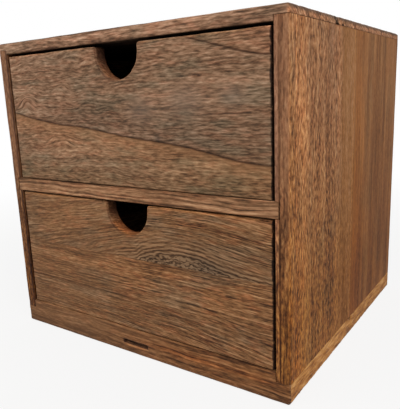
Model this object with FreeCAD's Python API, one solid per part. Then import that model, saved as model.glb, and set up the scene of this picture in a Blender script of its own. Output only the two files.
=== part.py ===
import FreeCAD, Part
import os
from FreeCAD import Vector

# Desktop cabinet with two inset drawers, all in millimetres.
# The origin is at the middle of the base, +Z is up, and the drawers open towards -Y.

# Overall size of the case
case_width = 261.0
case_depth = 238.0
case_height = 245.0

# Boards of the case
side_thickness = 10.0
top_thickness = 8.8
bottom_thickness = 21.6
shelf_thickness = 11.0
back_thickness = 4.0

# How far the case's boards are let into each other
top_housing_depth = 3.3
bottom_housing_depth = 6.8
shelf_housing_depth = 3.7
shelf_end_gap = 1.0
back_rabbet_width = 4.5
back_fit = 0.2

# Where each wide board's two staves are glued, as shares of the depth from the front
top_seam_share = 0.35
side_seam_share = 0.49
bottom_seam_share = 0.52
shelf_seam_share = 0.45

# Slot in the bottom board's front edge
slot_width = 25.0
slot_height = 3.0
slot_depth = 5.0
slot_centre_height = 9.6

# Room around the drawers
drawer_side_gap = 1.6
upper_top_gap = 2.0
lower_top_gap = 1.2
runner_gap = 0.2
front_recess = 0.5
rear_stop_gap = 0.3

# Boards of a drawer
front_thickness = 10.0
drawer_side_thickness = 8.0
drawer_back_thickness = 8.0
drawer_bottom_thickness = 3.0

# How far a drawer's boards are let into each other
front_rabbet_depth = 5.0
rear_rabbet_depth = 4.0
groove_depth = 4.0
groove_height = 4.0
groove_fit = 0.1
panel_edge_fit = 0.4

# Finger notch in the top edge of a drawer front
notch_width = 39.0
notch_depth = 24.0
notch_lip_radius = 2.0

# Rounding of the arrises that brushing has worn
case_arris_radius = 2.0
mouth_arris_radius = 1.0
front_arris_radius = 1.2
drawer_arris_radius = 1.0

# Flat-sided brads, flush with the board that they are driven through
brad_width = 1.25
brad_thickness = 1.05
brad_head_width = 2.0
brad_head_height = 0.6
brad_point_length = 1.2
case_brad_bite = 16.0
back_brad_bite = 10.0
corner_brad_bite = 12.0
panel_brad_bite = 9.0

# Where the brads stand, as shares of the edge that they line
case_brad_shares = (0.08, 0.3, 0.66, 0.92)
back_edge_shares = (0.16, 0.84)
back_upright_shares = (0.1, 0.32, 0.8)
corner_brad_shares = (0.22, 0.5, 0.78)
panel_brad_shares = (0.15, 0.5, 0.85)

# Cuts run past the face that they leave by this much
overrun = 5.0
same_place = 0.001

# Places that follow from the sizes
outer_x = case_width / 2
inner_x = outer_x - side_thickness
front_y = -case_depth / 2
rear_y = case_depth / 2
back_y = rear_y - back_thickness
top_underside = case_height - top_thickness
side_foot = bottom_thickness - bottom_housing_depth
side_head = top_underside + top_housing_depth
mouth_height = top_underside - bottom_thickness - shelf_thickness
all_gaps = upper_top_gap + lower_top_gap + runner_gap * 2
drawer_height = (mouth_height - all_gaps) / 2
shelf_underside = bottom_thickness + runner_gap + drawer_height + lower_top_gap
shelf_top = shelf_underside + shelf_thickness
back_x = inner_x + back_rabbet_width
back_foot = bottom_thickness - back_rabbet_width
back_head = top_underside + back_rabbet_width

drawer_x = inner_x - drawer_side_gap
drawer_inner_x = drawer_x - drawer_side_thickness
face_y = front_y + front_recess
drawer_rear_y = back_y - rear_stop_gap
groove_top = groove_height + drawer_bottom_thickness + groove_fit

nodes = {}


def box(x, y, z):
    # a block from one place to another along each axis
    size = [high - low for low, high in (x, y, z)]
    return Part.makeBox(*size, Vector(x[0], y[0], z[0]))


def along(low, high, share):
    return low + (high - low) * share


def on_planes(edge, planes):
    # whether both ends of an edge lie on each of the named planes
    ends = [vertex.Point for vertex in edge.Vertexes]
    return all(abs(getattr(end, axis) - place) < same_place for end in ends for axis, place in planes.items())


def rounded(shape, radius, *arrises):
    # an arris is named by the planes that meet there
    edges = [edge for edge in shape.Edges if any(on_planes(edge, planes) for planes in arrises)]
    return shape.makeFillet(radius, edges)


def brad(place, drive, wide, length):
    # headed profile with a chisel point, extruded to the strip's thickness
    shank, head = brad_width / 2, brad_head_width / 2
    neck, shoulder = brad_head_height, length - brad_point_length
    left = [(-head, 0), (-head, neck), (-shank, neck), (-shank, shoulder)]
    right = [(-x, depth) for x, depth in reversed(left)]
    points = [Vector(x, -brad_thickness / 2, depth) for x, depth in left + [(0, length)] + right]
    blank = Part.Face(Part.makePolygon(points + points[:1])).extrude(Vector(0, brad_thickness, 0))
    blank.Placement = FreeCAD.Placement(place, FreeCAD.Rotation(wide, Vector(), drive, "ZXY"))
    return blank


def glued_staves(name, board, seam_share):
    # a wide board is two staves, glued edge to edge
    seam = along(front_y, rear_y, seam_share)
    ahead = box((-outer_x - overrun, outer_x + overrun), (front_y - overrun, seam), (-overrun, case_height + overrun))
    nodes[name + "_front_stave"] = board.common(ahead)
    nodes[name + "_rear_stave"] = board.cut(ahead)


def back_rabbet():
    # the room that the back panel takes out of the boards around it
    x, foot, head = back_x + back_fit, back_foot - back_fit, back_head + back_fit
    return box((-x, x), (back_y, rear_y + overrun), (foot, head))


def side_blank(hand):
    # one side of the case with nothing cut from it yet, hand -1 at the left and 1 at the right
    x = sorted((hand * inner_x, hand * outer_x))
    blank = box(x, (front_y, rear_y), (side_foot, side_head))
    blank = rounded(blank, case_arris_radius, {"x": hand * outer_x, "y": front_y}, {"x": hand * outer_x, "y": rear_y})
    return rounded(blank, mouth_arris_radius, {"x": hand * inner_x, "y": front_y})


def side_seats():
    # both sides as plain blocks, which house their ends in the top and the bottom
    span_y, span_z = (front_y - overrun, rear_y + overrun), (side_foot, side_head)
    return [box(sorted((hand * inner_x, hand * (outer_x + overrun))), span_y, span_z) for hand in (-1, 1)]


def top_board(brads):
    board = box((-outer_x, outer_x), (front_y, rear_y), (top_underside, case_height))
    ends = [{"x": x, "z": case_height} for x in (-outer_x, outer_x)]
    uprights = [{"x": x, "y": y} for x in (-outer_x, outer_x) for y in (front_y, rear_y)]
    long_edges = [{"y": y, "z": case_height} for y in (front_y, rear_y)]
    board = rounded(board, case_arris_radius, *ends, *uprights, *long_edges)
    board = rounded(board, mouth_arris_radius, {"y": front_y, "z": top_underside})
    return board.cut(side_seats() + [back_rabbet()] + brads)


def bottom_board(brads):
    board = box((-outer_x, outer_x), (front_y, rear_y), (0, bottom_thickness))
    ends = [{"x": x, "z": 0} for x in (-outer_x, outer_x)]
    uprights = [{"x": x, "y": y} for x in (-outer_x, outer_x) for y in (front_y, rear_y)]
    long_edges = [{"y": y, "z": 0} for y in (front_y, rear_y)]
    board = rounded(board, case_arris_radius, *ends, *uprights, *long_edges)
    board = rounded(board, mouth_arris_radius, {"y": front_y, "z": bottom_thickness})
    return board.cut(side_seats() + [back_rabbet()] + front_slot() + brads)


def front_slot():
    # a narrow slot with round ends
    end_radius = slot_height / 2
    end_x = slot_width / 2 - end_radius
    low, high = slot_centre_height - end_radius, slot_centre_height + end_radius
    slot = [box((-end_x, end_x), (front_y - overrun, front_y + slot_depth), (low, high))]
    for x in (-end_x, end_x):
        start = Vector(x, front_y - overrun, slot_centre_height)
        slot.append(Part.makeCylinder(end_radius, slot_depth + overrun, start, Vector(0, 1, 0)))
    return slot


def shelf_board(brads):
    reach = inner_x + shelf_housing_depth - shelf_end_gap
    board = box((-reach, reach), (front_y, back_y), (shelf_underside, shelf_top))
    arrises = [{"y": front_y, "z": z} for z in (shelf_underside, shelf_top)]
    return rounded(board, mouth_arris_radius, *arrises).cut(brads)


def side_board(hand, brads):
    # the shelf's end is housed right through to the front edge, so its end shows there
    housing_x = sorted((hand * (inner_x - overrun), hand * (inner_x + shelf_housing_depth)))
    housing = box(housing_x, (front_y - overrun, rear_y + overrun), (shelf_underside, shelf_top))
    return side_blank(hand).cut([housing, back_rabbet()] + brads)


def case_brads(surface_z, lip, up):
    # a row at each end, through the top's or the bottom's lip into the end grain of the side
    x = (inner_x + outer_x) / 2
    places = [Vector(end, along(front_y, rear_y, share), surface_z) for end in (-x, x) for share in case_brad_shares]
    return [brad(place, Vector(0, 0, up), Vector(0, 1, 0), lip + case_brad_bite) for place in places]


def back_brads():
    # round the panel's edges and along the shelf
    edge_x, forward = (inner_x + back_x) / 2, Vector(0, -1, 0)
    rows = [(back_foot + bottom_thickness) / 2, (shelf_underside + shelf_top) / 2, (top_underside + back_head) / 2]
    across = [(along(-inner_x, inner_x, share), z) for z in rows for share in back_edge_shares]
    upright = [along(bottom_thickness, top_underside, share) for share in back_upright_shares]
    length = back_thickness + back_brad_bite
    brads = [brad(Vector(x, rear_y, z), forward, Vector(1, 0, 0), length) for x, z in across]
    for x in (-edge_x, edge_x):
        brads += [brad(Vector(x, rear_y, z), forward, Vector(0, 0, 1), length) for z in upright]
    return brads


def make_case():
    top_brads = case_brads(case_height, case_height - side_head, -1)
    bottom_brads = case_brads(0, side_foot, 1)
    panel_brads = back_brads()
    glued_staves("top", top_board(top_brads + panel_brads), top_seam_share)
    glued_staves("bottom", bottom_board(bottom_brads + panel_brads), bottom_seam_share)
    for name, hand in (("left_side", -1), ("right_side", 1)):
        glued_staves(name, side_board(hand, top_brads + bottom_brads + panel_brads), side_seam_share)
    glued_staves("shelf", shelf_board(panel_brads), shelf_seam_share)
    panel = box((-back_x, back_x), (back_y, rear_y), (back_foot, back_head))
    nodes["back_panel"] = panel.cut(panel_brads)
    nodes["top_brads"] = Part.makeCompound(top_brads)
    nodes["bottom_brads"] = Part.makeCompound(bottom_brads)
    nodes["back_brads"] = Part.makeCompound(panel_brads)


def drawer_front(base, brads):
    # the notch is a straight-sided U with a half-round floor
    top = base + drawer_height
    notch_radius = notch_width / 2
    floor_centre = top - notch_depth + notch_radius
    board = box((-drawer_x, drawer_x), (face_y, face_y + front_thickness), (base, top))
    throat = box((-notch_radius, notch_radius), (face_y, face_y + front_thickness), (floor_centre, top))
    floor = Part.makeCylinder(notch_radius, front_thickness, Vector(0, face_y, floor_centre), Vector(0, 1, 0))
    board = board.cut(throat.fuse(floor).removeSplitter())
    board = rounded(board, notch_lip_radius, {"x": -notch_radius, "z": top}, {"x": notch_radius, "z": top})
    board = rounded(board, front_arris_radius, {"y": face_y})
    # rabbets behind the face take the sides, and the groove takes the bottom panel
    lip_y, inside_y = face_y + front_thickness - front_rabbet_depth, face_y + front_thickness
    tall = (base - overrun, top + overrun)
    rabbets = [box(sorted((hand * drawer_inner_x, hand * (drawer_x + overrun))), (lip_y, inside_y + overrun), tall)
               for hand in (-1, 1)]
    return board.cut(rabbets + [panel_groove(base, inside_y - groove_depth)] + brads)


def panel_groove(base, start_y):
    # one groove runs round the front and the sides, open at the rear
    x = drawer_inner_x + groove_depth
    return box((-x, x), (start_y, drawer_rear_y + overrun), (base + groove_height, base + groove_top))


def drawer_side(base, hand, brads):
    top = base + drawer_height
    front_end = face_y + front_thickness - front_rabbet_depth
    x = sorted((hand * drawer_inner_x, hand * drawer_x))
    board = box(x, (front_end, drawer_rear_y), (base, top))
    board = rounded(board, drawer_arris_radius, *[{"x": place, "z": top} for place in x])
    rabbet_x = sorted((hand * (drawer_inner_x - overrun), hand * (drawer_inner_x + rear_rabbet_depth)))
    rabbet_y = (drawer_rear_y - drawer_back_thickness, drawer_rear_y + overrun)
    rabbet = box(rabbet_x, rabbet_y, (base - overrun, top + overrun))
    return board.cut([rabbet, panel_groove(base, front_end - overrun)] + brads)


def drawer_back(base, brads):
    # it stands on the bottom panel, which slides in beneath it
    top = base + drawer_height
    reach = drawer_inner_x + rear_rabbet_depth
    span_y = (drawer_rear_y - drawer_back_thickness, drawer_rear_y)
    board = box((-reach, reach), span_y, (base + groove_top, top))
    return rounded(board, drawer_arris_radius, *[{"y": y, "z": top} for y in span_y]).cut(brads)


def drawer_panel(base, brads):
    # it lies on its groove's lower wall, short of the groove's floor at the front and sides
    reach = drawer_inner_x + groove_depth - panel_edge_fit
    start = face_y + front_thickness - groove_depth + panel_edge_fit
    foot = base + groove_height
    return box((-reach, reach), (start, drawer_rear_y), (foot, foot + drawer_bottom_thickness)).cut(brads)


def corner_brads(base):
    # driven in through the sides, into the front and the back
    front_row = face_y + front_thickness - front_rabbet_depth / 2
    rear_row = drawer_rear_y - drawer_back_thickness / 2
    length = drawer_side_thickness + corner_brad_bite
    heights = [base + drawer_height * share for share in corner_brad_shares]
    return [brad(Vector(hand * drawer_x, y, z), Vector(-hand, 0, 0), Vector(0, 0, 1), length)
            for hand in (-1, 1) for y in (front_row, rear_row) for z in heights]


def panel_brads_under_back(base):
    y = drawer_rear_y - drawer_back_thickness / 2
    length = drawer_bottom_thickness + panel_brad_bite
    places = [along(-drawer_inner_x, drawer_inner_x, share) for share in panel_brad_shares]
    up, wide = Vector(0, 0, 1), Vector(1, 0, 0)
    return [brad(Vector(x, y, base + groove_height), up, wide, length) for x in places]


def make_drawer(name, base):
    corners, under_back = corner_brads(base), panel_brads_under_back(base)
    nodes[name + "_front"] = drawer_front(base, corners)
    nodes[name + "_left_side"] = drawer_side(base, -1, corners)
    nodes[name + "_right_side"] = drawer_side(base, 1, corners)
    nodes[name + "_back"] = drawer_back(base, corners + under_back)
    nodes[name + "_bottom"] = drawer_panel(base, under_back)
    nodes[name + "_brads"] = Part.makeCompound(corners + under_back)


make_case()
make_drawer("upper_drawer", shelf_top + runner_gap)
make_drawer("lower_drawer", bottom_thickness + runner_gap)

os.makedirs("parts", exist_ok=True)
for name, shape in nodes.items():
    shape.exportStep("parts/" + name + ".step")
    print(name, len(shape.Solids), "solid(s)", round(shape.Volume / 1000, 2), "cm3", "valid" if shape.isValid() else "BAD")
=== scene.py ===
# Desktop mini drawers in torched and brushed wood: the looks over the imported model
import math
import bmesh
import bpy
from mathutils import Matrix, Vector


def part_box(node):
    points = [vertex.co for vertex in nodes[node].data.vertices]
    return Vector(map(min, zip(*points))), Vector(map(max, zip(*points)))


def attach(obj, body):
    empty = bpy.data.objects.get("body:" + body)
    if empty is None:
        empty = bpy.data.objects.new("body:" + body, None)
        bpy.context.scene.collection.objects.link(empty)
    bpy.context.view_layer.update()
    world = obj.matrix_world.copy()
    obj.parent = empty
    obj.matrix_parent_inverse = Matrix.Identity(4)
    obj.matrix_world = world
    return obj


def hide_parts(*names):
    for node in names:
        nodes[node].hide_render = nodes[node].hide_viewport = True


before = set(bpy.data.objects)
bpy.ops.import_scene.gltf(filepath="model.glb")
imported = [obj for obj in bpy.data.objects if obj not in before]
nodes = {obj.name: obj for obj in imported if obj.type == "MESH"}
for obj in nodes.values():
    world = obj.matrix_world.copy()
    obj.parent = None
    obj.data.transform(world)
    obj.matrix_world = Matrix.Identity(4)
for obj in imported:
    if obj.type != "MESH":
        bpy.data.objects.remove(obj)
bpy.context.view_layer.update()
print("frame:", len(nodes), "nodes")

perMetre = 1000              # millimetres: sizes and places are in mm up to where they are used
drawers = ("upper_drawer", "lower_drawer")
layout = {"columns": 24, "wide": 190, "high": 320}      # where a tree's nodes lie in the node editor


def paint(red, green, blue):
    # a colour as a paint chart gives it, 0 to 255, made linear for the shader
    channels = []
    for value in (red, green, blue):
        value /= 255
        channels.append(value / 12.92 if value <= .04045 else ((value + .055) / 1.055) ** 2.4)
    return (*channels, 1)


class Pen:
    # adds nodes to one tree, of a material or of Geometry Nodes, and hands back their outputs;
    # a material's marks change its running colour and height
    def __init__(self, tree):
        self.tree = tree
        self.count = 0
        self.colour = self.height = None

    def node(self, kind, inputs=(), **settings):
        # the inputs come in their order, or by name or number in a dictionary
        made = self.tree.nodes.new(kind)
        row, column = divmod(self.count, layout["columns"])
        made.location = (column * layout["wide"], -row * layout["high"])
        self.count += 1
        for name, value in settings.items():
            setattr(made, name, value)
        for socket, value in (inputs.items() if isinstance(inputs, dict) else enumerate(inputs)):
            self.feed(made.inputs[socket], value)
        return made

    def feed(self, socket, value):
        if isinstance(value, bpy.types.NodeSocket):
            self.tree.links.new(value, socket)
        elif value is not None:
            socket.default_value = value

    def calc(self, operation, *values):
        return self.node("ShaderNodeMath", values, operation=operation).outputs[0]

    def times(self, first, *others):
        for other in others:
            first = self.calc("MULTIPLY", first, other)
        return first

    def plus(self, one, other):
        return self.calc("ADD", one, other)

    def minus(self, one, other):
        return self.calc("SUBTRACT", one, other)

    def scaleAdd(self, value, scale, more):
        return self.calc("MULTIPLY_ADD", value, scale, more)

    def absolute(self, value):
        return self.calc("ABSOLUTE", value)

    def vector(self, operation, *values):
        return self.node("ShaderNodeVectorMath", values, operation=operation).outputs["Vector"]

    def length(self, vector):
        return self.node("ShaderNodeVectorMath", (vector,), operation="LENGTH").outputs["Value"]

    def millimetres(self, position):
        return self.vector("MULTIPLY", position, (perMetre, perMetre, perMetre))

    def split(self, vector):
        return tuple(self.node("ShaderNodeSeparateXYZ", (vector,)).outputs)

    def join(self, x, y, z):
        return self.node("ShaderNodeCombineXYZ", (x, y, z)).outputs[0]

    def noise(self, place, size, shift=(0, 0, 0), detail=2, rough=.5):
        # size is how long a speck is along, across and into the board, in mm
        stretched = self.vector("MULTIPLY_ADD", place, tuple(1 / length for length in size), shift)
        made = self.node("ShaderNodeTexNoise", {"Vector": stretched, "Scale": 1, "Detail": detail,
                                                "Roughness": rough})
        return made.outputs[0]

    def rescale(self, value, low, high, newLow=0, newHigh=1, smooth=False, clamp=True):
        made = self.node("ShaderNodeMapRange", (value, low, high, newLow, newHigh), clamp=clamp,
                         interpolation_type="SMOOTHSTEP" if smooth else "LINEAR")
        return made.outputs[0]

    def ridge(self, off, width, at=0):
        # 1 where off is at this value, falling away over width
        near = self.times(self.minus(off, at) if at else off, 1 / width)
        return self.calc("EXPONENT", self.times(near, near, -1))

    def profile(self, value, points):
        # a Float Curve through these points, 0 to 1 both ways
        made = self.node("ShaderNodeFloatCurve", {"Value": value})
        line = made.mapping.curves[0]
        line.points[0].location = points[0]
        line.points[1].location = points[-1]
        for point in points[1:-1]:
            line.points.new(*point)
        made.mapping.update()
        return made.outputs[0]

    def ramp(self, value, stops):
        made = self.node("ShaderNodeValToRGB", (value,))
        elements = made.color_ramp.elements
        for number in (0, -1):
            elements[number].position = stops[number][0]
            elements[number].color = stops[number][1]
        for position, colour in stops[1:-1]:
            elements.new(position).color = colour
        return made.outputs[0]

    def blend(self, kind, share, first, second):
        inputs = {0: share, 6: first, 7: second}      # the colour sockets of a Mix node
        return self.node("ShaderNodeMix", inputs, data_type="RGBA", blend_type=kind).outputs[2]

    def tint(self, share, red, green, blue):
        self.colour = self.blend("MULTIPLY", share, self.colour, (red, green, blue, 1))

    def cover(self, share, colour):
        self.colour = self.blend("MIX", share, self.colour, colour)

    def carve(self, share, depth):
        self.height = self.scaleAdd(share, -depth, self.height)


# colours of the torched and brushed boards, from the brushed-out grooves to the worn ridges
tones = {
    "umber": ((62, 43, 30), (98, 70, 49), (128, 95, 70), (156, 120, 93), (176, 141, 112)),
    "tan": ((82, 50, 28), (128, 83, 49), (158, 107, 67), (180, 129, 85), (198, 150, 104)),
    "chestnut": ((52, 31, 16), (91, 59, 34), (121, 83, 50), (150, 107, 70), (174, 131, 91)),
    "ash": ((52, 44, 31), (84, 74, 56), (106, 94, 74), (130, 116, 95), (148, 134, 112)),
    "honey": ((104, 64, 34), (146, 98, 58), (170, 118, 72), (190, 140, 92), (206, 158, 110)),
}
toneStops = (0, .28, .52, .8, 1)     # the lightness at which each of them stands

plainBoard = {
    "axes": "xzy",           # which way the grain runs, the way across it, and the way into the board
    "seed": 1,
    "slant": 20,             # how the growth rings lie in the board, in degrees
    "waves": ((90, 34, 5), (24, 9, 1.6)),   # length along, length across, height of the grain's waves, mm
    "calmed": (0, 1, 1),     # from here to there along the board the waves shrink to this share
    "bulges": (),            # swells in the grain: centre along and across, half sizes, height
    "sweeps": (),            # the grain follows a drawn curve: foot, the way from it, fade, points
    "rings": (10, 0),        # growth lines: how far apart, and how dark
    "fleck": (7, 1.1, 2.2), "flecks": .55,
    "streaky": .4,           # how much of the flecks is drawn out into streaks
    "line": 1.3, "lines": .28,
    "band": 8, "bands": .17,
    "contrast": 1.0,
    "tone": "umber", "greyness": .4, "shade": 1.0, "rosy": .5,
    "rough": (.82, .58),     # how matt the grooves are, and the ridges
    "shine": .2,
    "paled": .6,             # how much a worn arris has paled
    "depth": .3,             # how deep the bump is, mm
    "chips": (),             # splinters broken out of the right end: y, z, radius and depth, mm
    "marks": None,           # the function that draws the board's own marks
}
seedSteps = {"wood": 7.3, "knocks": 13.7}     # how far the noise moves on from one seed to the next


def growthLine(pen, along, points, low, high):
    # a line drawn over the board from points in mm; it hands back its height at each place along
    start, stop = points[0][0], points[-1][0]
    share = pen.rescale(along, start, stop)
    curve = pen.profile(share, [((x - start) / (stop - start), (y - low) / (high - low)) for x, y in points])
    return pen.scaleAdd(curve, high - low, low)


def offLine(pen, along, across, points, low, high, jitter):
    # how far across from such a line a place lies; the jitter makes the line uneven
    return pen.plus(pen.minus(across, growthLine(pen, along, points, low, high)), jitter)


def woodField(pen, place, board):
    # the wood's lightness from 0 to 1 at a place in mm, x along the grain, y across, z into the board
    seed = board["seed"] * seedSteps["wood"]
    along, across, into = pen.split(place)
    ring = across
    calmFrom, calmTo, calmShare = board["calmed"]
    wavy = pen.rescale(along, calmFrom, calmTo, 1, calmShare)
    for number, (length, width, height) in enumerate(board["waves"]):
        swell = pen.noise(place, (length, width, width * 2), (seed + number, seed, 4.1), detail=0)
        swell = pen.rescale(swell, 0, 1, -height, height, clamp=False)
        ring = pen.scaleAdd(swell, wavy, ring)
    for centreAlong, centreAcross, halfLength, halfWidth, height in board["bulges"]:
        offAlong = pen.scaleAdd(along, 1 / halfLength, -centreAlong / halfLength)
        offAcross = pen.scaleAdd(across, 1 / halfWidth, -centreAcross / halfWidth)
        square = pen.plus(pen.times(offAlong, offAlong), pen.times(offAcross, offAcross))
        bell = pen.calc("EXPONENT", pen.times(square, -1))
        ring = pen.scaleAdd(bell, -height, ring)
    for foot, way, fade, points in board["sweeps"]:
        heights = [height for _, height in points]
        lift = growthLine(pen, along, points, min(heights) - 1, max(heights) + 1)
        beyond = pen.scaleAdd(across, way, -foot * way)
        share = pen.calc("EXPONENT", pen.times(beyond, -1 / fade))
        share = pen.times(share, pen.calc("GREATER_THAN", beyond, 0))
        ring = pen.minus(ring, pen.times(lift, share))
    slant = math.radians(board["slant"])
    slanted = pen.scaleAdd(into, math.sin(slant), pen.times(ring, math.cos(slant)))
    depth = pen.scaleAdd(into, math.cos(slant), pen.times(ring, -math.sin(slant)))
    turned = pen.join(along, slanted, depth)
    length, width, deep = board["fleck"]
    short = pen.noise(turned, (length, width, deep), (seed, 2.7, seed), detail=2.5, rough=.6)
    long = pen.noise(turned, (length * 2.8, width * 1.3, deep * 1.6), (4.4, seed, 1.3), detail=1.5)
    streaky = board["streaky"]
    flecks = pen.scaleAdd(long, streaky, pen.times(short, 1 - streaky))
    flecks = pen.rescale(flecks, .35, .65, clamp=False)
    lines = pen.noise(turned, (110, board["line"], 40), (1.9, seed, 0), rough=.65)
    lines = pen.rescale(lines, .3, .7, clamp=False)
    bands = pen.noise(turned, (160, board["band"], 70), (seed, 6.2, 1), detail=1)
    bands = pen.rescale(bands, .3, .7, clamp=False)
    light = pen.times(flecks, board["flecks"])
    light = pen.scaleAdd(lines, board["lines"], light)
    light = pen.scaleAdd(bands, board["bands"], light)
    contrast = 1.6 * board["contrast"]
    light = pen.scaleAdd(light, contrast, .5 - .5 * contrast)
    spacing, strength = board["rings"]
    if strength:
        # a growth line darkens slowly and ends sharply
        uneven = pen.noise(turned, (140, spacing * 2, 60), (seed, 8.8, 3), detail=1)
        part = pen.calc("FRACT", pen.plus(pen.times(slanted, 1 / spacing), uneven))
        broken = pen.noise(turned, (30, 5, 20), (2, seed, 5), detail=1)
        late = pen.times(pen.rescale(part, .5, .95), pen.rescale(part, 1, .95),
                         pen.rescale(broken, .3, .6, .35, 1))
        light = pen.scaleAdd(late, -strength, light)
    return pen.calc("MAXIMUM", pen.calc("MINIMUM", light, 1), 0), turned


def turnedPlace(pen, position, axes):
    # object coordinates in metres to mm, in the board's own order
    parts = dict(zip("xyz", pen.split(pen.millimetres(position))))
    return pen.join(*(parts[axis] for axis in axes))


def toneRamp(pen, light, tone):
    return pen.ramp(light, [(stop, paint(*colour)) for stop, colour in zip(toneStops, tones[tone])])


def chipped(pen, scaled, chip):
    # 1 in the middle of a chip in the right end, falling away raggedly; the place isn't turned here
    deep, up, radius, _ = chip
    side, _, _ = pen.split(scaled)
    ragged = pen.noise(scaled, (2, 2, 1.2), (3, 1, 4), detail=1)
    flat = pen.vector("MULTIPLY", scaled, (0, 1, 1))
    gap = pen.node("ShaderNodeVectorMath", (flat, (0, deep, up)), operation="DISTANCE").outputs["Value"]
    off = pen.scaleAdd(ragged, radius, gap)
    return pen.times(pen.ridge(off, radius, radius * .5), pen.rescale(side, 125, 126.5))


# The marks below are measured on the case, in mm from the middle of its underside: its front is at -119,
# its outer faces at 130.5, its hollow reaches out to 120.5 and its top is at 245. A share goes from 0 to 1
# between the two places that rescale names, and a tint multiplies red, green and blue by its numbers.
frontFace = (-117.4, -118.7)         # a face that looks to the front, without its worn arris
outerFace = (128.6, 130)
hollow = {"low": 20, "high": 236.6, "blur": (.6, .4)}
upperLines = {
    "patches": ((20, 189, 13, 9), (57, 194, 17, 11), (93, 197, 9, 7)),     # grey: centre and half sizes
    "long": ((-120, 189.5), (-82, 182), (-60, 179), (-42, 177.8), (-26, 175.6), (0, 171.5),
             (28, 168.2), (49, 165.8), (73, 161.7), (98, 156.8), (120, 155)),
    "longBounds": (140, 200),        # the curve is drawn between these heights
    "short": ((50, 236), (82, 227), (106, 220.5), (120, 218.5)),
    "shortBounds": (210, 240),
    "longWidth": .8, "shortWidth": .75,
    "top": 234.2,            # the front board's upper edge
    # the notch's reddish sawn colour with painted light on it
    "notchLitTint": (1.75, 1.36, 1.12),
}


def frontMarks(pen, place, top, notchLitTint):
    # what both drawer fronts share: a painted highlight on the upper arris, the sawn notch with painted light
    # and shade, and ends darkened partly by scorching and partly by painted shade of the gap
    along, across, into = pen.split(place)
    aside = pen.absolute(along)
    # a painted highlight along the upper arris, broken up by noise
    highlightBreaks = pen.noise(place, (24, 6, 6), (1, 4, 2))
    rim = pen.times(pen.rescale(across, top - 1.9, top - .8), pen.rescale(highlightBreaks, .35, .55, .4, 1),
                    pen.rescale(aside, 20.5, 21.5), pen.rescale(into, -116, -117.2))
    pen.tint(rim, 1.6, 1.52, 1.42)
    cut = pen.times(pen.rescale(aside, 24, 21), pen.rescale(across, top - 27, top - 24.5),
                    pen.rescale(into, -117.9, -116.2))
    # the saw cut gets painted light towards its floor, over its reddish sawn colour, and painted shade
    # towards its top
    notchLit = pen.rescale(across, top - 8, top - 20)
    pen.tint(pen.times(cut, notchLit), *notchLitTint)
    pen.tint(pen.times(cut, pen.minus(1, notchLit)), .34, .26, .23)
    # its arris gets a painted highlight at the right and below, and is darker brown at the left
    below = pen.calc("MINIMUM", pen.minus(across, top - 4.5), 0)
    radius = pen.length(pen.join(along, below, 0))
    lip = pen.times(pen.rescale(radius, 20.9, 20.1), pen.rescale(into, -117.4, -118))
    highlightSide = pen.rescale(along, -9, 1)
    pen.tint(pen.times(lip, highlightSide), 1.5, 1.45, 1.4)
    pen.tint(pen.times(lip, pen.minus(1, highlightSide)), .66, .55, .5)
    # painted shade deeper into the notch
    pen.tint(pen.times(cut, pen.rescale(into, -116, -109)), .5, .42, .36)
    # the ends are darkened: partly scorched wood, partly painted shade of the gap beside the drawer
    ragged = pen.noise(place, (3, 5, 3), (2, 2, 2))
    end = pen.plus(aside, pen.rescale(ragged, .3, .7, -.4, .4))
    scorchAndGapShade = pen.times(pen.rescale(end, 118, 118.6), pen.rescale(along, -20, 20, .7, 1))
    pen.tint(scorchAndGapShade, .1, .08, .07)


def upperFrontMarks(pen, place):
    along, across, _ = pen.split(place)
    jitter = pen.noise(place, (7, 3, 3), (5, 5, 5), detail=1)
    jitter = pen.rescale(jitter, 0, 1, -.5, .5, clamp=False)
    off = offLine(pen, along, across, upperLines["long"], *upperLines["longBounds"], jitter)
    under = pen.times(pen.rescale(off, -26, -1), pen.calc("LESS_THAN", off, 0))
    pen.tint(under, 1.1, .96, .78)
    pen.cover(pen.times(pen.rescale(off, -9, -1, 0, .5), under), paint(136, 98, 66))
    # darker and warmer low on the front: painted shade from light falling from above, with a warmer tone
    pen.tint(pen.rescale(across, 168, 140), .8, .8, .7)
    over = pen.times(pen.rescale(off, 22, 0), pen.calc("GREATER_THAN", off, 0))
    pen.tint(pen.times(over, pen.ridge(along, 62, 5)), .8, .84, .9)
    char = pen.ridge(off, upperLines["longWidth"])
    for centreAlong, centreAcross, wide, high in upperLines["patches"]:
        patch = pen.times(pen.ridge(along, wide, centreAlong), pen.ridge(across, high, centreAcross), .5)
        pen.cover(patch, paint(116, 99, 84))
    stain = pen.times(pen.rescale(off, 8.5, 2), pen.rescale(off, 0, 1))
    pen.tint(pen.times(pen.ridge(along, 2.4, 34), stain), .5, .52, .56)
    # the short line at the upper right
    off = offLine(pen, along, across, upperLines["short"], *upperLines["shortBounds"], jitter)
    right = pen.rescale(along, 52, 70)
    pen.tint(pen.times(right, pen.calc("GREATER_THAN", off, 0)), 1.05, .98, .93)
    short = pen.times(pen.ridge(off, upperLines["shortWidth"]), pen.rescale(along, 52, 64))
    char = pen.calc("MAXIMUM", char, short)
    pen.tint(char, .3, .25, .22)
    pen.carve(char, .6)
    frontMarks(pen, place, upperLines["top"], upperLines["notchLitTint"])


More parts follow.
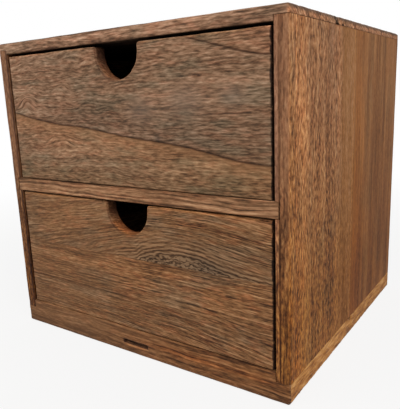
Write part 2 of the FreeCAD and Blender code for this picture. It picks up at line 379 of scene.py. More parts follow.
lowerLines = {
    "foot": 80,              # the flame stands on a straight line at this height, mm
    "flame": ((-70, -13), (-29, -4.5), (4, 0), (12, 4.6), (22, 8), (36, 11), (50, 11.8), (62, 11.2),
              (72, 9), (82, 6.6), (96, 4.8), (119, 3.4)),    # how high the flame is over its foot
    "flameBounds": (-16, 16),
    "spacing": 2.9,          # between its lines, mm
    "dark": paint(54, 36, 22), "middle": paint(108, 77, 51), "light": paint(154, 119, 86),
    "long": ((-119, 48.3), (-70, 48.9), (-40, 48.2), (-8, 47), (20, 46.2), (60, 43.4), (119, 38)),
    "longBounds": (30, 55),
    "pale": ((-119, 28.5), (-60, 28.8), (-30, 30.6), (-5, 28.6), (30, 24.6), (60, 22)),
    "paleBounds": (15, 40),
    "top": 121.8,
    # the notch's reddish sawn colour with painted light on it
    "notchLitTint": (2.3, 1.8, 1.5),
}


def lowerFrontMarks(pen, place):
    along, across, _ = pen.split(place)
    jitter = pen.noise(place, (9, 3, 3), (5, 2, 5), rough=.6)
    jitter = pen.rescale(jitter, 0, 1, -1, 1, clamp=False)
    small = pen.times(jitter, .3)
    rise = pen.minus(pen.scaleAdd(jitter, .5, across), lowerLines["foot"])
    beyond = pen.minus(rise, growthLine(pen, along, lowerLines["flame"], *lowerLines["flameBounds"]))
    # its lines are clean outside and tangled in its heart
    tangle = pen.noise(place, (4.5, 2.6, 3), (8, 1, 5), detail=1)
    tangle = pen.times(pen.rescale(tangle, 0, 1, -1.3, 1.3, clamp=False),
                       pen.rescale(beyond, -1.5, -5.5))
    phase = pen.plus(pen.scaleAdd(beyond, 1 / lowerLines["spacing"], small), tangle)
    wave = pen.absolute(pen.calc("SINE", pen.times(phase, math.pi)))
    above = pen.rescale(rise, -.3, .3)
    heart = pen.times(above, pen.rescale(beyond, 1, -1), pen.rescale(along, 0, 8),
                      pen.rescale(along, 122, 90, .7, 1))
    near = pen.times(pen.rescale(beyond, 18, 0, 0, .8), above, pen.rescale(along, -55, 5, .15, 1),
                     pen.rescale(along, 119, 90, .4, 1))
    share = pen.calc("MAXIMUM", near, heart)
    lines = pen.times(pen.rescale(wave, .95, .3), share)
    # the smoother, redder wood under the flame
    warm = pen.times(pen.ridge(across, 13, 67), pen.ridge(along, 100, 5),
                     pen.rescale(rise, .3, -.3))
    pen.tint(warm, 1.12, 1.03, .94)
    pen.cover(pen.rescale(along, 30, -50, 0, .3), paint(122, 87, 57))
    flecked = pen.scaleAdd(pen.minus(pen.height, .5), .4, wave)
    stops = ((.16, lowerLines["dark"]), (.62, lowerLines["middle"]), (1, lowerLines["light"]))
    pen.cover(pen.times(share, .9), pen.ramp(flecked, stops))
    pen.tint(pen.times(heart, pen.rescale(beyond, -1, -4)), .8, .82, .84)
    pen.tint(pen.times(heart, pen.ridge(along, 14, 72)), .74, .78, .84)
    # two long dark lines, and a pale one with its shadow below them
    off = offLine(pen, along, across, lowerLines["long"], *lowerLines["longBounds"], small)
    second = pen.times(pen.ridge(off, .5, -2.6), .6)
    double = pen.times(pen.calc("MAXIMUM", pen.ridge(off, .7), second),
                       pen.rescale(along, 119, 20, .25, .8))
    pen.tint(double, .5, .46, .44)
    off = offLine(pen, along, across, lowerLines["pale"], *lowerLines["paleBounds"], small)
    left = pen.rescale(along, 60, 20, 0, .6)
    pen.tint(pen.times(pen.ridge(off, .8), left), 1.4, 1.32, 1.2)
    pen.tint(pen.times(pen.ridge(off, .6, -1.7), left), .6, .56, .54)
    pen.carve(lines, .55)
    pen.carve(double, .4)
    frontMarks(pen, place, lowerLines["top"], lowerLines["notchLitTint"])


def inside(pen, side, deep, up):
    # 1 within the case's hollow
    outer, inner = hollow["blur"]
    low, high = hollow["low"], hollow["high"]
    return pen.times(pen.rescale(pen.absolute(side), 121.2, 120.2), pen.rescale(deep, -117.5, -114),
                     pen.rescale(up, low - outer, low + inner),
                     pen.rescale(up, high + outer, high - inner))


def topMarks(pen, place):
    side, deep, up = pen.split(place)
    # painted shade on the underside inside the case's hollow
    pen.tint(inside(pen, side, deep, up), .12, .1, .09)
    # the front edge lighter and cooler: painted light falling from above
    pen.tint(pen.rescale(deep, -117, -118.6), 1.42, 1.42, 1.5)
    end = pen.rescale(pen.absolute(side), *outerFace)
    pen.tint(end, 1.95, 1.66, 1.4)
    # smoke has stayed along the upper arris
    pen.tint(pen.times(pen.rescale(up, 241.6, 243.4), end), .36, .4, .45)


def shelfMarks(pen, place):
    _, deep, _ = pen.split(place)
    # painted shade on the shelf behind its front edge, between the drawers
    pen.tint(pen.rescale(deep, -118, -116.5), .5, .46, .42)
    pen.tint(pen.rescale(deep, -117, -118.4), 1.06, .95, .8)


def frontEdge(pen, place, strip):
    # a side board's front edge: darker, with a paler strip beside the drawers
    up, deep, out = pen.split(place)
    edge = pen.rescale(deep, *frontFace)
    streaks = pen.noise(place, (34, 9, 1.6), (3, 3, 7), rough=.6)
    streaks = pen.rescale(streaks, .3, .7, clamp=False)
    pen.tint(edge, .86, .86, .95)
    pen.cover(pen.times(edge, pen.rescale(up, 110, 150, .1, .5)), paint(132, 92, 66))
    darker = pen.times(pen.rescale(streaks, .6, .2), edge, pen.rescale(up, 110, 150, 1, .6))
    pen.tint(darker, .45, .4, .38)
    off = pen.minus(pen.absolute(out), 120.5)
    fading = pen.rescale(up, 230, 110, .3 * strip, strip)
    pen.tint(pen.times(pen.rescale(off, 2.9, 2.3), edge, fading), 1.5, 1.65, 2.1)
    groove = pen.times(pen.ridge(off, .55, 3.4), edge, fading)
    pen.tint(groove, .3, .24, .2)
    # on the left the inner arris gets painted shade of the gap beside the drawer instead
    pen.tint(pen.times(pen.rescale(off, 2.2, 1.2), edge, 1 - strip), .3, .25, .22)
    pen.carve(darker, .3)
    pen.carve(groove, .5)


def sideMarks(pen, place, strip=0):
    # both sides grow darker and deeper in colour downwards, partly painted shade from light falling from
    # above and partly their own colour, and get painted shade on their inner faces
    up, deep, out = pen.split(place)
    # painted shade lower down, with the wood's own deeper colour
    low = pen.rescale(up, 195, 55)
    pen.tint(low, .68, .545, .195)
    pen.tint(pen.times(low, pen.rescale(pen.height, .5, .15)), .8, .76, .72)
    pen.tint(pen.times(low, pen.rescale(pen.height, .5, .85)), 1.16, 1.14, 1.12)
    # painted shade on the inner faces near the front, in the gaps beside the drawers
    inner = pen.times(pen.rescale(pen.absolute(out), 121.2, 120.7),
                      pen.rescale(deep, -118.6, -117.4))
    pen.tint(inner, .3, .24, .2)
    frontEdge(pen, place, strip)


def rightSideMarks(pen, place):
    up, deep, out = pen.split(place)
    outside = pen.rescale(out, 129, 130)
    waver = pen.noise(place, (60, 8, 8), (1, 1, 1), detail=1)
    straight = pen.plus(deep, 119)
    off = pen.plus(straight, pen.rescale(waver, 0, 1, -1.5, 1.5, clamp=False))
    # a darker strip at the front, with coarse streaks
    strip = pen.times(pen.rescale(off, 9, 8), outside, pen.rescale(up, 225, 110, .35, 1))
    coarse = pen.noise(place, (16, 1.7, 3), (7, 1, 1), rough=.6)
    pen.tint(strip, .66, .64, .6)
    pen.tint(pen.times(strip, pen.rescale(coarse, .38, .62)), 1.95, 1.95, 1.75)
    # its bright and its dark rim, a light band, a greyer one that fades downwards, and that one's pale end:
    # how far back, half width, shares, tint
    for at, width, shares, shade in (
            (9.7, .7, (outside, .9), (1.5, 1.42, 1.3)),
            (8.3, .5, (outside, .8), (.5, .45, .4)),
            (17, 9, (), (1.3, 1.22, 1.1)),
            (69, 9, (pen.rescale(up, 60, 200, 0, .8),), (.86, .84, .86)),
            (80.5, .9, (.7,), (1.25, 1.2, 1.15))):
        pen.tint(pen.times(pen.ridge(off, width, at), *shares), *shade)
    # the clear band before the seam, the seam, and the rear stave
    clear = pen.times(pen.rescale(off, 82, 92), pen.rescale(off, 122, 117), .66)
    pen.cover(clear, paint(150, 101, 54))
    pen.tint(pen.times(pen.ridge(off, 1.1, 114.6), .9), 1.3, 1.22, 1.05)
    pen.tint(pen.times(pen.ridge(straight, .6, 116.9), .8), .62, .55, .48)
    rear = pen.rescale(straight, 116, 118.5)
    pen.tint(rear, .8, .73, .5)
    near = pen.times(rear, pen.rescale(straight, 150, 128))
    pen.tint(near, 1.12, 1.04, .88)
    pen.tint(pen.times(near, pen.rescale(up, 195, 55)), 1.26, 1.22, .84)
    sideMarks(pen, place, 1)


def bottomMarks(pen, place):
    side, deep, up = pen.split(place)
    off = pen.plus(deep, 119)
    outside = pen.rescale(pen.absolute(side), *outerFace)
    streaks = pen.noise(place, (6, 13, 2), (2, 2, 2), detail=2.5, rough=.6)
    light = pen.minus(pen.rescale(streaks, .3, .7, 0, 1.05), .2)
    light = pen.scaleAdd(pen.rescale(up, 0, 15), .4, light)
    bright = pen.times(outside, pen.rescale(off, 1.6, 2.6))
    pen.cover(pen.times(bright, .92), toneRamp(pen, light, "honey"))
    pen.tint(bright, 1.14, 1.06, .76)
    pen.tint(pen.times(outside, pen.rescale(off, 118, 128)), .92, .92, .92)
    torn = pen.noise(place, (3, 5, 1.4), (9, 1, 4), detail=1)
    torn = pen.times(pen.rescale(torn, .5, .58), outside, pen.ridge(off, 9, 124),
                     pen.ridge(up, 1.5, 14.6))
    pen.tint(torn, .2, .14, .1)
    # painted shade on the upper face inside the case's hollow
    pen.tint(inside(pen, side, deep, up), .4, .36, .32)
    front = pen.rescale(deep, *frontFace)
    pen.cover(pen.times(front, pen.rescale(side, 60, -40, 0, .45)), paint(124, 86, 56))
    pen.tint(pen.times(front, pen.rescale(side, -40, 60)), .98, .86, .72)
    # the slot: painted shade inside, and a painted highlight on its lower lip
    level = pen.minus(up, 9.6)
    slot = pen.times(pen.rescale(pen.absolute(side), 13, 12.4),
                     pen.rescale(pen.absolute(level), 2, 1.4), pen.rescale(deep, -112, -113.5))
    pen.tint(slot, .16, .11, .09)
    lip = pen.times(pen.ridge(level, .8, -2.9), front, pen.rescale(side, 13, 6),
                    pen.rescale(side, -12, -6))
    pen.tint(lip, 1.8, 1.7, 1.6)
    # a warm streak along the front edge, painted shade along its lower rim by the floor, a pale spot by the
    # left side
    streak = pen.times(pen.ridge(side, 50, 66), pen.ridge(up, 2.6, 12.8), front)
    pen.tint(streak, 1.5, 1.22, 1.0)
    pen.tint(pen.times(pen.rescale(up, 6.5, 1.5, 0, .7), front), .66, .62, .6)
    spot = pen.times(pen.ridge(side, 4.5, -116), pen.ridge(up, .7, 19.4), front)
    pen.tint(spot, 2.3, 2.3, 2.4)


def newMaterial(name):
    material = bpy.data.materials.new(name)
    material.use_nodes = True
    return material, Pen(material.node_tree), material.node_tree.nodes["Principled BSDF"]


def addBump(pen, shader, height, strength, depth):
    bump = pen.node("ShaderNodeBump", {"Strength": strength, "Distance": depth / perMetre, "Height": height})
    pen.feed(shader.inputs["Normal"], bump.outputs[0])


def woodMaterial(name, board):
    material, pen, shader = newMaterial(name)
    position = pen.node("ShaderNodeTexCoord").outputs["Object"]
    place = turnedPlace(pen, position, board["axes"])
    light, turned = woodField(pen, place, board)
    seed = board["seed"]
    pen.height = light
    pen.colour = toneRamp(pen, light, board["tone"])
    soot = pen.noise(turned, (46, 12, 30), (seed, 9.4, seed), detail=2.5, rough=.65)
    soot = pen.rescale(soot, .46, .66, 0, board["greyness"], smooth=True)
    pen.cover(soot, toneRamp(pen, light, "ash"))
    cloud = pen.noise(turned, (70, 26, 40), (3.1, seed, 8), detail=1)
    cloud = pen.rescale(cloud, .3, .7, .9 * board["shade"], 1.1 * board["shade"])
    pen.colour = pen.blend("MULTIPLY", 1, pen.colour, cloud)
    rosy = pen.noise(turned, (14, 3, 6), (seed, 5.5, 2), rough=.6)
    pen.tint(pen.rescale(rosy, .48, .66, 0, board["rosy"], smooth=True), 1.16, .95, .9)
    if board["marks"]:
        board["marks"](pen, place)
    worn = pen.node("ShaderNodeAttribute", attribute_name="worn").outputs["Fac"]
    pen.tint(pen.times(worn, board["paled"]), 1.2, 1.15, 1.1)
    # the chips are darkened: painted shade in their hollows
    for chip in board["chips"]:
        dark = pen.rescale(chipped(pen, pen.millimetres(position), chip), .35, .6)
        pen.tint(dark, .09, .07, .06)
    pen.feed(shader.inputs["Base Color"], pen.colour)
    pen.feed(shader.inputs["Roughness"], pen.rescale(pen.height, 0, 1, *board["rough"]))
    shader.inputs["Specular IOR Level"].default_value = board["shine"]
    addBump(pen, shader, pen.height, 1, board["depth"])
    return material


flatAlongX = {"axes": "xyz", "slant": 50, "fleck": (7, 1.1, 2.4), "rings": (11, .3), "greyness": .25}
sideBoard = {"axes": "zyx", "tone": "tan", "slant": 48, "fleck": (4.2, 1.25, 2.2), "streaky": .15,
             "waves": ((90, 34, 4), (13, 6, 1.6)), "greyness": .2, "rosy": .4, "contrast": .94}
leftBoard = {**sideBoard, "rings": (12, .25), "marks": sideMarks}
bottomBoard = {**flatAlongX, "tone": "chestnut", "greyness": .12, "marks": bottomMarks}
recipes = {
    "upper_drawer_front": {"seed": 3, "waves": ((80, 30, 3.6), (16, 9, 2)), "calmed": (-30, 50, .3),
                           "greyness": .5, "depth": .25, "fleck": (6.6, 1.2, 2.4), "streaky": .12,
                           "bulges": ((-100, 196, 10, 8, 6), (-62, 168, 12, 6, 3)),
                           "contrast": .72, "shade": 1.06, "marks": upperFrontMarks},
    "lower_drawer_front": {"seed": 5, "tone": "chestnut", "waves": ((120, 40, 2), (26, 10, .8)),
                           "fleck": (6, .8, 2), "flecks": .5, "line": .95, "lines": .38, "bands": .12,
                           "greyness": .32, "rosy": .75,
                           "bulges": ((135, 22, 70, 30, -10), (-60, 20, 70, 14, 3)),
                           "sweeps": ((80, 1, 40, ((-119, -20), (-80, -13), (-50, -6.5), (-29, 0), (-10, 6),
                                                   (5, 9.5), (25, 12.5), (45, 13.5), (65, 12.5), (85, 9),
                                                   (105, 4), (119, 1))),),
                           "marks": lowerFrontMarks},
    "top_front_stave": {**flatAlongX, "seed": 7, "contrast": .86, "marks": topMarks,
                        "chips": ((-40.5, 239.6, 3.2, 3),)},
    "top_rear_stave": {**flatAlongX, "seed": 8, "contrast": .9, "marks": topMarks,
                       "chips": ((-30.5, 239.2, 2.1, 2),)},
    "bottom_front_stave": {**bottomBoard, "seed": 9, "lines": .4, "flecks": .43,
                           "chips": ((-.5, 14.4, 2.6, 2.4),)},
    "bottom_rear_stave": {**bottomBoard, "seed": 10, "chips": ((11, 14.6, 2.4, 2),)},
    "left_side_front_stave": {**leftBoard, "seed": 11},
    "left_side_rear_stave": {**leftBoard, "seed": 12, "flecks": .4},
    "right_side_front_stave": {**sideBoard, "seed": 13, "marks": rightSideMarks},
    "right_side_rear_stave": {**sideBoard, "seed": 14, "flecks": .25, "line": 4, "lines": .4, "bands": .3,
                              "contrast": .54, "rosy": .15, "marks": rightSideMarks},
    "shelf_front_stave": {**flatAlongX, "seed": 15, "shade": 1.06, "lines": .5, "flecks": .35,
                          "greyness": .1, "marks": shelfMarks},
    # the rear stave at half brightness: painted shade inside the case
    "shelf_rear_stave": {**flatAlongX, "seed": 16, "shade": .5},
    "back_panel": {"seed": 17, "tone": "honey", "flecks": .25},
}
for body in drawers:
    # the sides and back take the dark chestnut tone: partly their own stain, partly painted shade inside the
    # drawer
    recipes[body + "_left_side"] = {"axes": "yzx", "seed": 18, "tone": "chestnut"}
    recipes[body + "_right_side"] = {"axes": "yzx", "seed": 19, "tone": "chestnut"}
    recipes[body + "_back"] = {"seed": 20, "tone": "chestnut"}
    recipes[body + "_bottom"] = {"axes": "xyz", "seed": 21, "tone": "honey", "flecks": .2}
boards = {name: {**plainBoard, **recipe} for name, recipe in recipes.items()}
finishes = {}
for name, board in boards.items():
    finishes[name] = woodMaterial(name, board)
    nodes[name].data.materials.clear()
    nodes[name].data.materials.append(finishes[name])
print("wood:", len(boards), "boards")


# the relief of the brush and the worn arrises, board by board
plainRelief = {
    "joined": None,          # the side glued to a neighbour, which has no worn arris
    "brush": .22,            # how deep the soft wood is brushed out, mm
    "wear": .35,             # how much the arrises have lost, mm
    "width": 2.2,            # how far the wear reaches from an arris, mm
}
# each relief also says which sides stay plain, because nobody sees them, and how far apart
# its faces are cut along x, y and z, in mm
frontRelief = {"hidden": ((0, 1, 0),), "steps": (3.5, 2.5, 1.1), "wear": .3, "width": 1.8}
topRelief = {"hidden": ((0, 0, -1),), "steps": (4, 1.3, 2.2)}
bottomRelief = {"hidden": ((0, 0, 1), (0, 0, -1)), "steps": (4, 2, 1.8)}
shelfRelief = {"hidden": ((0, 0, 1), (0, 0, -1)), "steps": (4, 2, 2.2), "wear": .3}
leftRelief = {"hidden": ((1, 0, 0),), "steps": (2.5, 1.2, 4)}
rightRelief = {"hidden": ((-1, 0, 0),), "steps": (2.5, 1.2, 4)}
reliefs = {
    "upper_drawer_front": frontRelief,
    "lower_drawer_front": frontRelief,
    "top_front_stave": {**topRelief, "joined": "rear"},
    "top_rear_stave": {**topRelief, "joined": "front"},
    "bottom_front_stave": {**bottomRelief, "joined": "rear"},
    "bottom_rear_stave": {**bottomRelief, "joined": "front"},
    "left_side_front_stave": {**leftRelief, "joined": "rear"},
    "left_side_rear_stave": {**leftRelief, "joined": "front"},
    "right_side_front_stave": {**rightRelief, "joined": "rear"},
    "right_side_rear_stave": {**rightRelief, "joined": "front", "brush": .1},
    "shelf_front_stave": {**shelfRelief, "joined": "rear"},
}
grid = {
    "touching": 1e-6,        # two points nearer than this are one, m
    "flat": .6,              # faces that turn by less than this many degrees are joined
    "sharp": 42,             # and edges that turn by more than this are creased
    "facing": .9,            # a face is hidden when its normal goes this far the hidden way
    "quick": 3,
}


def sliceFaces(mesh, faces, axis, low, high, step):
    # cuts the faces at even steps; past each cut only what lies beyond it is cut again
    count = max(1, round((high - low) / step))
    normal = Vector((0, 0, 0))
    normal[axis] = 1
    point = Vector((0, 0, 0))
    for number in range(1, count):
        point[axis] = low + (high - low) * number / count
        edges = {edge for face in faces for edge in face.edges}
        verts = {vert for edge in edges for vert in edge.verts}
        cut = bmesh.ops.bisect_plane(mesh, geom=[*verts, *edges, *faces], dist=grid["touching"],
                                     plane_co=point, plane_no=normal)
        faces = [part for part in cut["geom"]
                 if isinstance(part, bmesh.types.BMFace) and part.calc_center_bounds()[axis] > point[axis]]


def griddedCopy(name, relief):
    # the node's own shape, its visible faces cut into a grid fine enough for the relief
    mesh = bmesh.new()
    mesh.from_mesh(nodes[name].data)
    bmesh.ops.remove_doubles(mesh, verts=mesh.verts, dist=grid["touching"])
    bmesh.ops.dissolve_limit(mesh, angle_limit=math.radians(grid["flat"]), verts=mesh.verts, edges=mesh.edges)
    low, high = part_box(name)
    coarse = 1
    for axis in sorted(range(3), key=lambda one: -relief["steps"][one]):
        mesh.normal_update()
        seen = [face for face in mesh.faces
                if all(face.normal.dot(Vector(side)) < grid["facing"] for side in relief["hidden"])]
        sliceFaces(mesh, seen, axis, low[axis], high[axis], relief["steps"][axis] * coarse / perMetre)
    copied = bpy.data.meshes.new(name + " gridded")
    mesh.to_mesh(copied)
    mesh.free()
    return copied


def newTree(name, inputs):
    # a Geometry Nodes tree with these inputs after its geometry
    tree = bpy.data.node_groups.new(name, "GeometryNodeTree")
    tree.is_modifier = True
    for label, kind in {"Geometry": "Geometry", **inputs}.items():
        tree.interface.new_socket(label, in_out="INPUT", socket_type="NodeSocket" + kind)
    tree.interface.new_socket("Geometry", in_out="OUTPUT", socket_type="NodeSocketGeometry")
    return tree


def endTree(pen, geometry, material):
    real = pen.node("GeometryNodeRealizeInstances", (geometry,))
    coat = pen.node("GeometryNodeSetMaterial", {"Geometry": real.outputs[0], "Material": material})
    pen.node("NodeGroupOutput", (coat.outputs[0],))


def reliefTree(name, board):
    # Geometry Nodes that brush the soft wood out and wear the arrises; inputs in metres
    tree = newTree("weathered " + name, {
        "Brush Depth": "Float", "Arris Wear": "Float", "Arris Width": "Float",
        "Low Corner": "Vector", "High Corner": "Vector", "Seed": "Float", "Wood": "Material"})
    pen = Pen(tree)
    given = pen.node("NodeGroupInput").outputs
    position = pen.node("GeometryNodeInputPosition").outputs[0]
    normal = pen.node("GeometryNodeInputNormal").outputs[0]
    _, turned = woodField(pen, turnedPlace(pen, position, board["axes"]), board)
    soft = pen.noise(turned, (22, 2.6, 4), (board["seed"], 1, 1), detail=1)
    soft = pen.rescale(soft, .3, .62, 1, 0)
    # how near the second nearest side of the board is says how near the arris is
    below = pen.split(pen.vector("SUBTRACT", position, given["Low Corner"]))
    above = pen.split(pen.vector("SUBTRACT", given["High Corner"], position))
    x, y, z = (pen.calc("MINIMUM", one, other) for one, other in zip(below, above))
    arris = pen.calc("MAXIMUM", pen.calc("MINIMUM", x, y),
                     pen.calc("MINIMUM", pen.calc("MAXIMUM", x, y), z))
    arris = pen.rescale(arris, 0, given["Arris Width"], 1, 0, smooth=True)
    scaled = pen.millimetres(position)
    drift = pen.join(given["Seed"], given["Seed"], given["Seed"])
    knocks = pen.noise(pen.vector("ADD", scaled, drift), (11, 11, 11), detail=2.5, rough=.6)
    worn = pen.times(arris, pen.rescale(knocks, .35, .75, .12, 1))
    loss = pen.scaleAdd(soft, given["Brush Depth"], pen.times(worn, given["Arris Wear"]))
    for chip in board["chips"]:
        loss = pen.scaleAdd(chipped(pen, scaled, chip), chip[-1] / perMetre, loss)
    offset = pen.node("ShaderNodeVectorMath", {0: normal, "Scale": pen.times(loss, -1)}, operation="SCALE")
    store = pen.node("GeometryNodeStoreNamedAttribute",
                     {"Geometry": given["Geometry"], "Name": "worn", "Value": worn},
                     data_type="FLOAT", domain="POINT")
    moved = pen.vector("ADD", position, offset.outputs[0])
    moved = pen.vector("MAXIMUM", pen.vector("MINIMUM", moved, given["High Corner"]), given["Low Corner"])
    move = pen.node("GeometryNodeSetPosition", {"Geometry": store.outputs[0], "Position": moved})
    smooth = pen.node("GeometryNodeSetShadeSmooth", {"Geometry": move.outputs[0]})
    endTree(pen, smooth.outputs[0], given["Wood"])
    return tree


def grow(name, mesh, tree, values):
    # runs a tree on a mesh and keeps the result as a plain mesh
    holder = bpy.data.objects.new(name + " holder", mesh)
    bpy.context.scene.collection.objects.link(holder)
    modifier = holder.modifiers.new("nodes", "NODES")
    modifier.node_group = tree
    for item in tree.interface.items_tree:
        if item.item_type == "SOCKET" and item.in_out == "INPUT" and item.name in values:
            modifier[item.identifier] = values[item.name]
    bpy.context.view_layer.update()
    seen = holder.evaluated_get(bpy.context.evaluated_depsgraph_get())
    made = bpy.data.meshes.new_from_object(seen)
    holder.modifiers.remove(modifier)
    bpy.data.objects.remove(holder)
    made.name = name
    piece = bpy.data.objects.new(name, made)
    bpy.context.scene.collection.objects.link(piece)
    return piece


def weatheredBoard(name):
    board = boards[name]
    relief = {**plainRelief, **reliefs[name]}
    low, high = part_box(name)
    # the joined side is moved a metre off, so that no arris is there
    if relief["joined"] == "rear":
        high[1] += 1
    if relief["joined"] == "front":
        low[1] -= 1
    piece = grow("brushed_" + name, griddedCopy(name, relief), reliefTree(name, board), {
        "Brush Depth": relief["brush"] / perMetre, "Arris Wear": relief["wear"] / perMetre,
        "Arris Width": relief["width"] / perMetre, "Low Corner": low, "High Corner": high,
        "Seed": board["seed"] * seedSteps["knocks"], "Wood": finishes[name]})
    piece.data.set_sharp_from_angle(angle=math.radians(grid["sharp"]))
    body = next((body for body in drawers if name.startswith(body)), "case")
    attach(piece, body)
    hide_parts(name)


for name in reliefs:
    weatheredBoard(name)
print("relief:", len(reliefs), "boards")


brad = {
    "Head Width": 2.0, "Head Height": 1.05, "Head Thickness": .6, "Corner Radius": .22,      # mm
    "Shank Width": 1.25, "Shank Height": 1.0,
}
bradLengths = {"case": 21.5, "back": 14, "corner": 20, "panel": 12}
bradNodes = {"case": ("top_brads", "bottom_brads", "back_brads"),
             "upper_drawer": ("upper_drawer_brads",), "lower_drawer": ("lower_drawer_brads",)}
drawerFloors = {"upper_drawer": 134.2, "lower_drawer": 21.8}     # the underside of each drawer


def bradSpots():
    # where each head lies in mm, the way it faces, the way it is wide and the brad's length, body by body
    spots = {body: [] for body in bradNodes}
    for side in (-125.5, 125.5):
        for deep in (-99.96, -47.6, 38.08, 99.96):
            spots["case"].append(((side, deep, 245), (0, 0, 1), (0, 1, 0), bradLengths["case"]))
            spots["case"].append(((side, deep, 0), (0, 0, -1), (0, 1, 0), bradLengths["case"]))
    for side in (-81.94, 81.94):
        for height in (19.35, 128.5, 238.45):
            spots["case"].append(((side, 119, height), (0, 1, 0), (1, 0, 0), bradLengths["back"]))
    for side in (-122.75, 122.75):
        for height in (43.06, 90.27, 193.28):
            spots["case"].append(((side, 119, height), (0, 1, 0), (0, 0, 1), bradLengths["back"]))
    for body, base in drawerFloors.items():
        for way in (-1, 1):
            for deep in (-111, 110.7):
                for up in (22, 50, 78):
                    place = (118.9 * way, deep, base + up)
                    spots[body].append((place, (way, 0, 0), (0, 0, 1), bradLengths["corner"]))
        for side in (-77.63, 0, 77.63):
            spots[body].append(((side, 110.7, base + 4), (0, 0, -1), (1, 0, 0), bradLengths["panel"]))
    return spots


def bradTree():
    tree = newTree("brads", {**dict.fromkeys(brad, "Float"), "Metal": "Material"})
    pen = Pen(tree)
    given = pen.node("NodeGroupInput").outputs
    # the head: a rounded plate, its face on the wood's surface
    outline = pen.node("GeometryNodeCurvePrimitiveQuadrilateral",
                       {"Width": given["Head Width"], "Height": given["Head Height"]})
    corners = {"Curve": outline.outputs[0], "Count": 3, "Radius": given["Corner Radius"]}
    rounded = pen.node("GeometryNodeFilletCurve", corners, mode="POLY")
    filled = pen.node("GeometryNodeFillCurve", {"Curve": rounded.outputs[0]}, mode="NGONS")
    down = pen.join(0, 0, pen.times(given["Head Thickness"], -1))
    lowered = pen.node("GeometryNodeTransform", {"Geometry": filled.outputs[0], "Translation": down})
    raising = {"Mesh": lowered.outputs[0], "Offset Scale": given["Head Thickness"], "Individual": False}
    raised = pen.node("GeometryNodeExtrudeMesh", raising, mode="FACES")
    foot = pen.node("GeometryNodeFlipFaces", {"Mesh": lowered.outputs[0]})
    head = pen.node("GeometryNodeJoinGeometry", (raised.outputs["Mesh"],))
    pen.feed(head.inputs[0], foot.outputs[0])
    closed = pen.node("GeometryNodeMergeByDistance",
                      {"Geometry": head.outputs[0], "Distance": grid["touching"]})
    # the shank is about a metre long here, and each point scales it
    shank = pen.node("GeometryNodeMeshCube",
                     {"Size": pen.join(given["Shank Width"], given["Shank Height"], .98)})
    sunk = pen.node("GeometryNodeTransform", {"Geometry": shank.outputs[0], "Translation": (0, 0, -.51)})
    out, wide, length = (
        pen.node("GeometryNodeInputNamedAttribute", {"Name": label}, data_type=kind).outputs[0]
        for label, kind in (("out", "FLOAT_VECTOR"), ("wide", "FLOAT_VECTOR"), ("length", "FLOAT")))
    turn = pen.node("FunctionNodeAxesToRotation", (out, wide), primary_axis="Z", secondary_axis="X")
    both = pen.node("GeometryNodeJoinGeometry")
    for part, stretch in ((closed, None), (sunk, pen.join(1, 1, length))):
        placed = pen.node("GeometryNodeInstanceOnPoints",
                          {"Points": given["Geometry"], "Instance": part.outputs[0],
                           "Rotation": turn.outputs[0], "Scale": stretch})
        pen.feed(both.inputs[0], placed.outputs[0])
    endTree(pen, both.outputs[0], given["Metal"])
    return tree


def bradMetal():
    # galvanised steel, scuffed by the hammer and a little smoked
    material, pen, shader = newMaterial("brad steel")
    place = pen.millimetres(pen.node("ShaderNodeTexCoord").outputs["Object"])
    scuffs = pen.noise(place, (.7, .7, .7), (3, 1, 2), detail=3, rough=.65)
    stops = ((.32, paint(44, 38, 33)), (.52, paint(92, 84, 76)), (.75, paint(134, 126, 117)))
    pen.feed(shader.inputs["Base Color"], pen.ramp(scuffs, stops))
    shader.inputs["Metallic"].default_value = .9
    pen.feed(shader.inputs["Roughness"], pen.rescale(scuffs, .3, .7, .62, .34))
    addBump(pen, shader, scuffs, .6, .08)
    return material


def driveBrads():
    tree = bradTree()
    values = {label: size / perMetre for label, size in brad.items()}
    values["Metal"] = bradMetal()
    for body, spots in bradSpots().items():
        mesh = bpy.data.meshes.new(body + " brad spots")
        mesh.from_pydata([Vector(spot[0]) / perMetre for spot in spots], [], [])
        for label, column in (("out", 1), ("wide", 2)):
            attribute = mesh.attributes.new(label, "FLOAT_VECTOR", "POINT")
            for entry, spot in zip(attribute.data, spots):
                entry.vector = spot[column]
        length = mesh.attributes.new("length", "FLOAT", "POINT")
        for entry, spot in zip(length.data, spots):
            entry.value = spot[3] / perMetre
        piece = grow(body + "_brad_heads", mesh, tree, values)
        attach(piece, body)
        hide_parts(*bradNodes[body])
    print("brads driven")


driveBrads()


studio = {
    "floorSize": 6, "floorShade": paint(236, 235, 232),      # m
    "skyStrength": .42,
    "floorGlow": .84,        # how much of the floor that the camera sees is plain white
    "whitening": (.25, .9),      # from here to there from the middle it turns all white, m
    "lamps": {"key": (19, 1.3, (1.2, -1.15, 1.15)), "fill": (7, 1.6, (-.9, -1.6, .8))},     # W, size, place
    "lampsAim": (0, 0, .12),
}


def seenDirectly(pen):
    # 1 for the camera's own rays, mirrored ones too, 0 for the light that falls on the object
    path = pen.node("ShaderNodeLightPath").outputs
    seen = pen.calc("MAXIMUM", path["Is Camera Ray"], path["Is Glossy Ray"])
    return pen.calc("MAXIMUM", seen, path["Is Transmission Ray"])


def mixInto(pen, output, share, first, second):
    mix = pen.node("ShaderNodeMixShader", (share, first.outputs[0], second.outputs[0]))
    pen.node(output, (mix.outputs[0],))


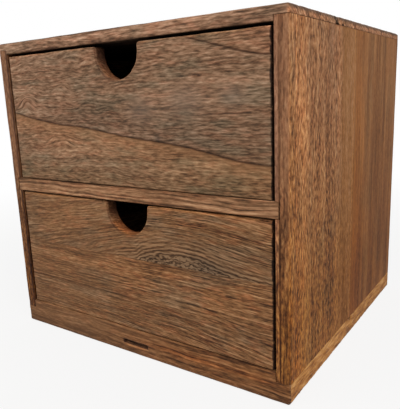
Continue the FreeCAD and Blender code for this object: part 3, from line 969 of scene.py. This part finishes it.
def makeFloor():
    half = studio["floorSize"] / 2
    mesh = bpy.data.meshes.new("floor")
    corners = [(-half, -half, 0), (half, -half, 0), (half, half, 0), (-half, half, 0)]
    mesh.from_pydata(corners, [], [(0, 1, 2, 3)])
    floor = bpy.data.objects.new("floor", mesh)
    bpy.context.scene.collection.objects.link(floor)
    material = bpy.data.materials.new("pale floor")
    material.use_nodes = True
    material.node_tree.nodes.clear()
    pen = Pen(material.node_tree)
    matt = pen.node("ShaderNodeBsdfDiffuse", {"Color": studio["floorShade"]})
    white = pen.node("ShaderNodeEmission", {"Strength": 1})
    # further off the floor turns plain white, so that it meets the background
    away = pen.length(pen.node("ShaderNodeTexCoord").outputs["Object"])
    fade = pen.rescale(away, *studio["whitening"], studio["floorGlow"], 1, smooth=True)
    mixInto(pen, "ShaderNodeOutputMaterial", pen.times(fade, seenDirectly(pen)), matt, white)
    mesh.materials.append(material)


def makeSky():
    world = bpy.data.worlds.new("studio")
    bpy.context.scene.world = world
    world.use_nodes = True
    world.node_tree.nodes.clear()
    pen = Pen(world.node_tree)
    soft, white = (pen.node("ShaderNodeBackground", {"Color": (1, 1, 1, 1), "Strength": strength})
                   for strength in (studio["skyStrength"], 1))
    mixInto(pen, "ShaderNodeOutputWorld", seenDirectly(pen), soft, white)


def makeLamp(name, power, size, place):
    data = bpy.data.lights.new(name, "AREA")
    data.energy = power
    data.size = size
    lamp = bpy.data.objects.new(name, data)
    lamp.location = place
    lamp.rotation_euler = (Vector(studio["lampsAim"]) - Vector(place)).to_track_quat("-Z", "Y").to_euler()
    bpy.context.scene.collection.objects.link(lamp)


view = {
    "eye": (.25090, -.38377, .19812), "pitch": -12.378, "turn": -34.824, "roll": -2.332,
    "lens": 44.184, "film": 36,      # mm, for the photograph's long side
    "near": .01,             # nothing nearer is seen, m
}


def makeCamera():
    pitch, turn, roll = (math.radians(view[name]) for name in ("pitch", "turn", "roll"))
    ahead = Vector((math.sin(turn) * math.cos(pitch), math.cos(turn) * math.cos(pitch), math.sin(pitch)))
    level = Vector((math.cos(turn), -math.sin(turn), 0))
    upright = level.cross(ahead)
    right = math.cos(roll) * level + math.sin(roll) * upright
    up = math.cos(roll) * upright - math.sin(roll) * level
    data = bpy.data.cameras.new("camera")
    data.lens = view["lens"]
    data.sensor_width = view["film"]
    data.clip_start = view["near"]
    camera = bpy.data.objects.new("camera", data)
    camera.matrix_world = Matrix.Translation(view["eye"]) @ Matrix((right, up, -ahead)).transposed().to_4x4()
    bpy.context.scene.collection.objects.link(camera)
    bpy.context.scene.camera = camera


makeFloor()
makeSky()
for name, lamp in studio["lamps"].items():
    makeLamp(name, *lamp)
makeCamera()
bpy.context.scene.view_settings.view_transform = "Standard"
print("studio ready")
